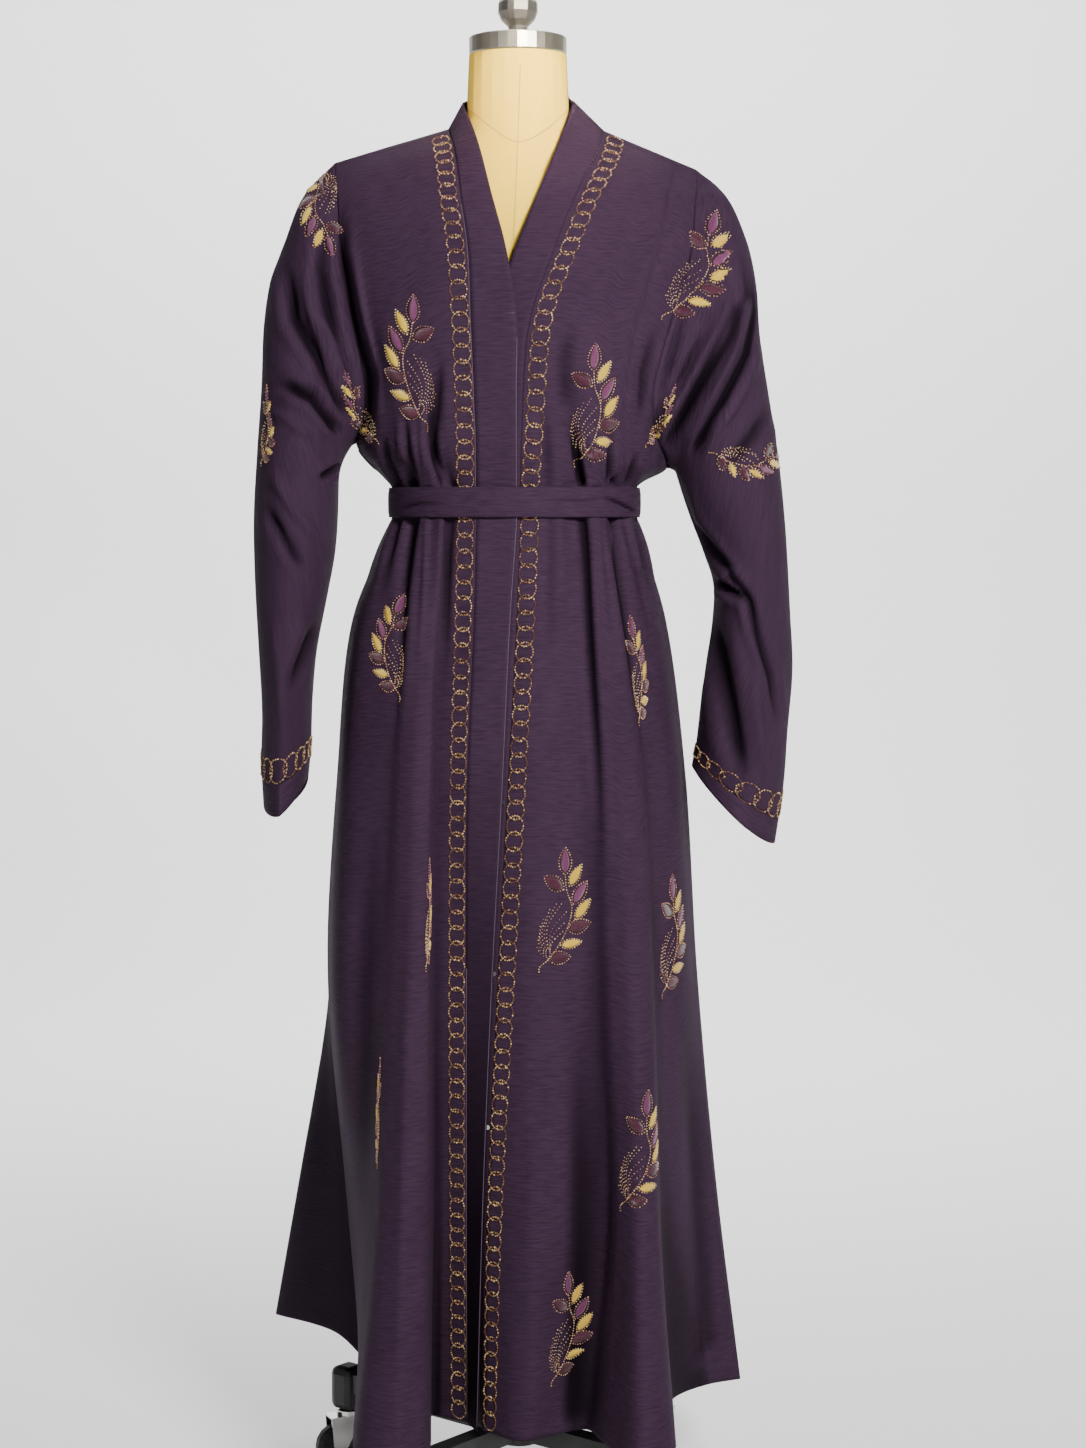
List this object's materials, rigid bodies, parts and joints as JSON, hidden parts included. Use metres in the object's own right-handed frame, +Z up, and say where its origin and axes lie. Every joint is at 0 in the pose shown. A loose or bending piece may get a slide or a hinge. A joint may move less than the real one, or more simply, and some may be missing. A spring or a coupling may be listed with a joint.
{
  "type": "abaya on a dress form",
  "caption": "Open full-length abaya, belted at the waist, with long sleeves and side slits, worn on a limbless dress form whose base rolls on swivelling casters.",
  "frame": {"origin": "centre of the bounding box's underside, on the floor", "axes": "+Z up, the front faces -Y, +X to the viewer's right (the wearer's left)"},
  "size_m": [0.59, 0.5047, 1.6764],
  "materials": {
    "crepe": "dark aubergine crepe with a fine crosswise slub",
    "linen": "cream linen, plain weave",
    "bright_steel": "polished",
    "black_metal": "black, satin",
    "rubber": "black, smooth"
  },
  "bodies": {
    "form_and_abaya": {"front_right": "crepe", "front_left": "crepe", "back": "crepe", "sleeve_right": "crepe", "sleeve_left": "crepe", "cuff_right": "crepe", "cuff_left": "crepe", "band_right": "crepe", "band_left": "crepe", "band_back": "crepe", "belt": "crepe", "belt_knot": "crepe", "belt_end_right": "crepe", "belt_end_left": "crepe", "press_stud_1": "bright_steel", "press_stud_2": "bright_steel", "press_stud_3": "bright_steel", "form_body": "linen", "neck_cap": "bright_steel", "neck_knob": "bright_steel", "pole": "bright_steel", "base_plate": "black_metal", "hub": "black_metal", "leg_1": "black_metal", "boot_1": "rubber", "race_1": "bright_steel", "leg_2": "black_metal", "boot_2": "rubber", "race_2": "bright_steel", "leg_3": "black_metal", "boot_3": "rubber", "race_3": "bright_steel", "leg_4": "black_metal", "boot_4": "rubber", "race_4": "bright_steel"},
    "caster_1": {"fork_1": "bright_steel"},
    "caster_wheel_1": {"wheel_1": "rubber"},
    "caster_2": {"fork_2": "bright_steel"},
    "caster_wheel_2": {"wheel_2": "rubber"},
    "caster_3": {"fork_3": "bright_steel"},
    "caster_wheel_3": {"wheel_3": "rubber"},
    "caster_4": {"fork_4": "bright_steel"},
    "caster_wheel_4": {"wheel_4": "rubber"}
  },
  "joints": [
    {"name": "caster_swivel_1", "type": "hinge", "parent": "form_and_abaya", "child": "caster_1", "pos_m": [0.16371, 0.19004, 0.061], "axis": [0, 0, 1], "continuous": true},
    {"name": "wheel_spin_1", "type": "hinge", "parent": "caster_1", "child": "caster_wheel_1", "pos_m": [0.14867, 0.18456, 0.025], "axis": [-0.342, 0.9397, 0], "continuous": true},
    {"name": "caster_swivel_2", "type": "hinge", "parent": "form_and_abaya", "child": "caster_2", "pos_m": [-0.20383, 0.15594, 0.061], "axis": [0, 0, 1], "continuous": true},
    {"name": "wheel_spin_2", "type": "hinge", "parent": "caster_2", "child": "caster_wheel_2", "pos_m": [-0.21833, 0.14918, 0.025], "axis": [-0.4226, 0.9063, 0], "continuous": true},
    {"name": "caster_swivel_3", "type": "hinge", "parent": "form_and_abaya", "child": "caster_3", "pos_m": [-0.16973, -0.21159, 0.061], "axis": [0, 0, 1], "continuous": true},
    {"name": "wheel_spin_3", "type": "hinge", "parent": "caster_3", "child": "caster_wheel_3", "pos_m": [-0.1752, -0.22663, 0.025], "axis": [-0.9397, 0.342, 0], "continuous": true},
    {"name": "caster_swivel_4", "type": "hinge", "parent": "form_and_abaya", "child": "caster_4", "pos_m": [0.1978, -0.1775, 0.061], "axis": [0, 0, 1], "continuous": true},
    {"name": "wheel_spin_4", "type": "hinge", "parent": "caster_4", "child": "caster_wheel_4", "pos_m": [0.2058, -0.19135, 0.025], "axis": [-0.866, -0.5, 0], "continuous": true}
  ]
}
